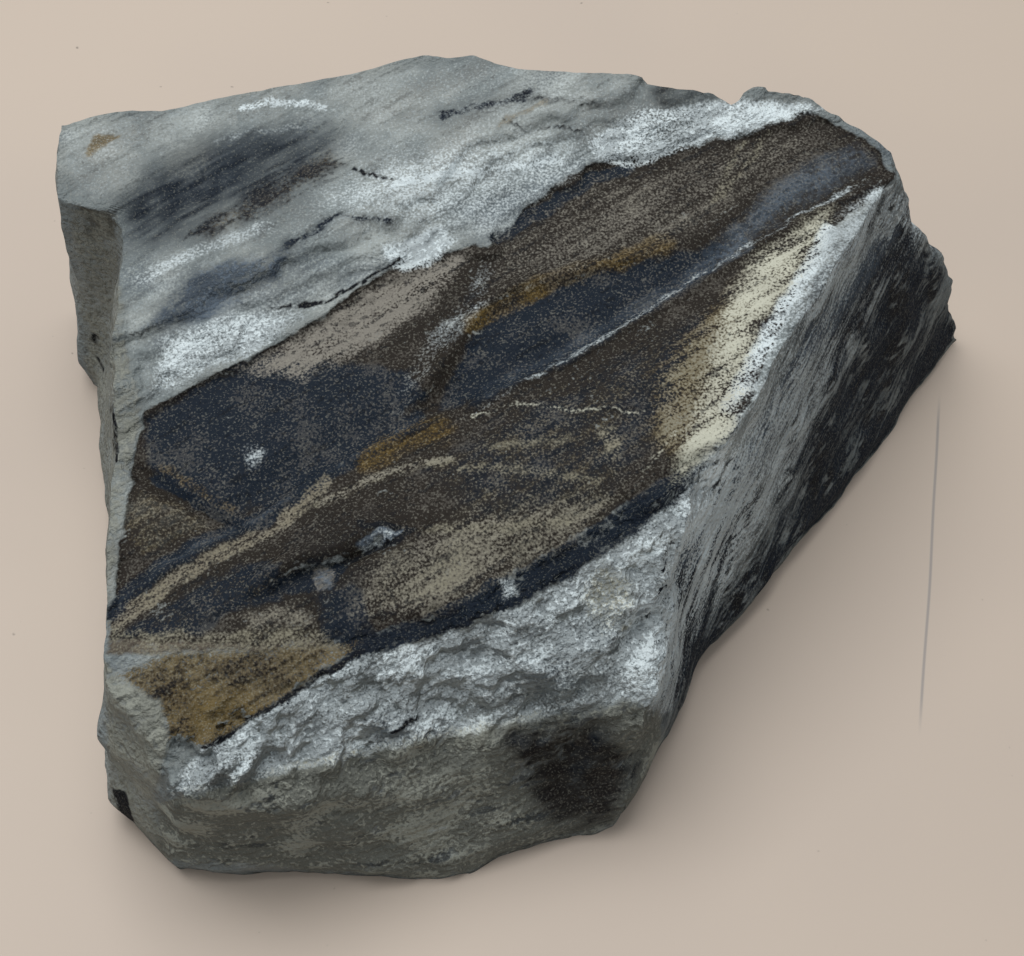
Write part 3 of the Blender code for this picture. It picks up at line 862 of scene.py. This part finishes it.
def stone_finish():
    """Shale stained by the leaf: pigments with speckled rims over mottled slate, with painted shade
    and painted highlights among them.
    """
    finish = Finish("stained_shale_and_painted_shade")
    # Unevenness of every size, from broad clouds to grit, plain or drawn out along the grain.
    plain = finish.places()
    broad = finish.cloud(plain, 0.012, 1.0)
    coarse = finish.cloud(plain, 0.004, 2.0)
    chips = finish.cloud(finish.places(BEDDING_WAY, 2.0, 0.02), 0.0045, 2.0, "RIDGED_MULTIFRACTAL")
    specks = finish.cloud(plain, 0.00045, 2.0)
    crumbs = finish.cloud(finish.places(shift=0.05), 0.00025, 1.0)
    grit = finish.cloud(plain, 0.0002, 1.0)
    bedding = finish.cloud(finish.places(BEDDING_WAY, 7.0), 0.0008, 1.0)
    fibres = finish.cloud(finish.places(FIBRE_WAY, 14.0), 0.0006, 1.0)
    far_strands = finish.cloud(finish.places(FAR_STRAND_WAY, 7.0, 0.11), 0.0024, 1.0)
    near_strands = finish.cloud(finish.places(NEAR_STRAND_WAY, 7.0, 0.17), 0.0024, 1.0)
    ledges = finish.cloud(finish.places(FRONT_WAY, 6.0), 0.0011, 1.0)
    combed = finish.cloud(finish.places(BEDDING_WAY, 12.0, 0.13), 0.0009, 1.0)
    steep = finish.amount("steep")
    fibrous = finish.amount("fibrous")
    front = finish.amount("front")
    film = finish.amount("umber")
    bare = 1.0 - film
    rugged = finish.amount("rugged")
    # The streaks run with the bedding above, with the fibres on the right and in ledges in front.
    strands = far_strands * (1.0 - steep) + near_strands * steep
    right_streaks = fibres * 0.4 + strands * 0.6
    streaks = bedding * (1.0 - fibrous - front) + right_streaks * fibrous + ledges * front
    # How the streaks and the specks break up the rims of the pigments.
    dark_break = (coarse - 0.5) * 1.5 + (streaks - 0.5) * (0.9 + front * 1.7 + fibrous * 3.2)
    dark_break = dark_break + (specks - 0.5) * 1.3
    pale_break = (broad - 0.5) * -0.9 + (coarse - 0.5) * -0.9
    pale_break = pale_break + (streaks - 0.5) * (-0.5 - fibrous * 4.6)
    pale_break = pale_break + (crumbs - 0.5) * 2.8 + (combed - 0.5) * film * 1.6
    # The bare slate, its stains, and the pigments over it.
    dimming = finish.step(broad + (coarse - 0.5) * 0.6 + (crumbs - 0.5) * 0.4, 0.36, 0.64)
    colour = finish.blend(dimming, SLATE, DIM_SLATE)
    stains = finish.cloud(finish.places(BEDDING_WAY, 1.8, 0.09), 0.009, 2.0)
    brown = finish.step(stains + (specks - 0.5) * 0.4, 0.5, 0.72)
    colour = finish.blend(brown * bare * 0.3, colour, PIGMENTS["earth"])
    blue = finish.step(stains + (crumbs - 0.5) * 0.4, 0.46, 0.3)
    colour = finish.blend(blue * bare * 0.45, colour, PIGMENTS["steel"])
    for pigment, shade in PIGMENTS.items():
        pale = pigment in PALE
        spread = pale_break if pale else dark_break
        limits = PALE_COVER if pale else DARK_COVER
        cover = finish.step(finish.amount(pigment) * (1.0 + spread), *limits)
        colour = finish.blend(cover, colour, shade)
    # Painted shade, then cracks, creases, speckle, pits and dust over the pigments.
    # Painted shade: where the hollow coat lies the colour darkens towards night, and towards umber on
    # the front.
    hollow = finish.amount("hollow") * (0.85 + (coarse - 0.5) * 0.6 + (streaks - 0.5) * 0.8)
    colour = finish.blend(hollow, colour, finish.blend(front, PIGMENTS["night"], PIGMENTS["umber"]))
    cracks = finish.step(ledges + (specks - 0.5) * 0.4, 0.4, 0.3)
    colour = finish.blend(cracks * front * 0.5, colour, PIGMENTS["soot"])
    # The creases are the dips of the chipped relief: the soot laid in them is dark cracks and painted
    # shade in one.
    creases = finish.step(chips + (specks - 0.5) * 0.8, 0.16, 0.04)
    speckle = finish.step(crumbs + (coarse - 0.5) * 0.9, 0.5, 0.68)
    colour = finish.blend(speckle * film * 0.2, colour, PIGMENTS["taupe"])
    pits = finish.step(specks + (streaks - 0.5), 0.62, 0.74)
    colour = finish.blend(creases * (bare * 0.2 + rugged * 0.35), colour, PIGMENTS["soot"])
    colour = finish.blend(pits * (0.3 + film * 0.3), colour, PIGMENTS["soot"])
    dust = finish.step(grit + (crumbs - 0.5) * 0.8, 0.6, 0.72)
    colour = finish.blend(dust * 0.1, colour, PIGMENTS["cream"])
    finish.feed(finish.shader.inputs["Base Color"], colour)
    roughness = STONE_ROUGHNESS + (specks - 0.5) * 0.4 - film * 0.1
    finish.feed(finish.shader.inputs["Roughness"], roughness)
    finish.feed(finish.shader.inputs["Specular IOR Level"], SHEEN)
    # The fine relief, which is low under the film of the leaf.
    grain = bedding * (1.0 - fibrous) + fibres * fibrous
    broken = coarse * 0.4 + grain * 0.9 + specks * 0.8
    broken = broken * (1.0 - film * 0.75) * (1.0 - finish.amount("smooth") * 0.7)
    height = broken + chips * (bare * 0.3 + rugged * 2.4)
    depth = {"Strength": BUMP_STRENGTH, "Distance": BUMP_DEPTH, "Height": height}
    bump = finish.node("ShaderNodeBump", {}, depth)
    finish.feed(finish.shader.inputs["Normal"], bump)
    return finish.material


def table_finish():
    """A worn pale board: faint clouds of warm tone, a few dark specks and one long scratch."""
    finish = Finish("pale_table")
    plain = finish.places()
    clouds = finish.cloud(plain, 0.06, 2.0)
    specks = finish.cloud(plain, 0.0014, 1.0)
    colour = finish.blend(finish.step(clouds, 0.35, 0.65), TABLE, WORN_TABLE)
    colour = finish.blend(finish.step(specks, 0.78, 0.84) * 0.5, colour, PIGMENTS["umber"])
    across = finish.node("ShaderNodeSeparateXYZ", {}, {"Vector": plain}, "X")
    deep = finish.node("ShaderNodeSeparateXYZ", {}, {"Vector": plain}, "Y")
    # How far a place is off the scratch, which wavers a little and runs thin at its ends.
    far, near = SCRATCH
    slope = (far[0] - near[0]) / (far[1] - near[1])
    off = across - (deep - near[1]) * slope - near[0] - (clouds - 0.5) * 0.002
    off = finish.node("ShaderNodeMath", {"operation": "ABSOLUTE"}, {0: off})
    near_end = finish.step(deep, near[1], near[1] + SCRATCH_END)
    far_end = finish.step(deep, far[1], far[1] - SCRATCH_END)
    scratch = finish.step(off, *SCRATCH_RIM) * (near_end * far_end)
    colour = finish.blend(scratch * 0.45, colour, PIGMENTS["steel"])
    finish.feed(finish.shader.inputs["Base Color"], colour)
    finish.feed(finish.shader.inputs["Roughness"], 0.55 + (clouds - 0.5) * 0.2)
    return finish.material


stone = bpy.data.objects.new("leaf_stone", stone_mesh())
bpy.context.scene.collection.objects.link(stone)
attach(stone, "root")
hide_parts(NODE)
coat_mesh(stone.data)
stone.data.materials.append(stone_finish())

floor_mesh = bmesh.new()
bmesh.ops.create_grid(floor_mesh, x_segments=1, y_segments=1, size=TABLE_HALF)
floor_data = bpy.data.meshes.new("table")
floor_mesh.to_mesh(floor_data)
floor_mesh.free()
floor = bpy.data.objects.new("table", floor_data)
bpy.context.scene.collection.objects.link(floor)
floor.data.materials.append(table_finish())

camera = bpy.data.objects.new("camera", bpy.data.cameras.new("camera"))
camera.data.lens = LENS
camera.data.sensor_width = SENSOR
camera.data.clip_start = NEAREST
camera.location = camera_axes()[2] * MM
camera.rotation_euler = (math.pi / 2 - ELEVATION, 0.0, 0.0)
bpy.context.scene.collection.objects.link(camera)
bpy.context.scene.camera = camera

world = bpy.data.worlds.new("studio")
world.use_nodes = True
sky = world.node_tree.nodes["Background"]
sky.inputs["Color"].default_value = SKY
sky.inputs["Strength"].default_value = SKY_STRENGTH
bpy.context.scene.world = world
lamp = bpy.data.objects.new("window", bpy.data.lights.new("window", "AREA"))
lamp.data.size = LAMP_SIZE
lamp.data.energy = LAMP_WATTS
lamp.location = LAMP_PLACE
lamp.rotation_euler = Vector(LAMP_PLACE).to_track_quat("Z", "Y").to_euler()
bpy.context.scene.collection.objects.link(lamp)
bpy.context.scene.view_settings.view_transform = "Standard"
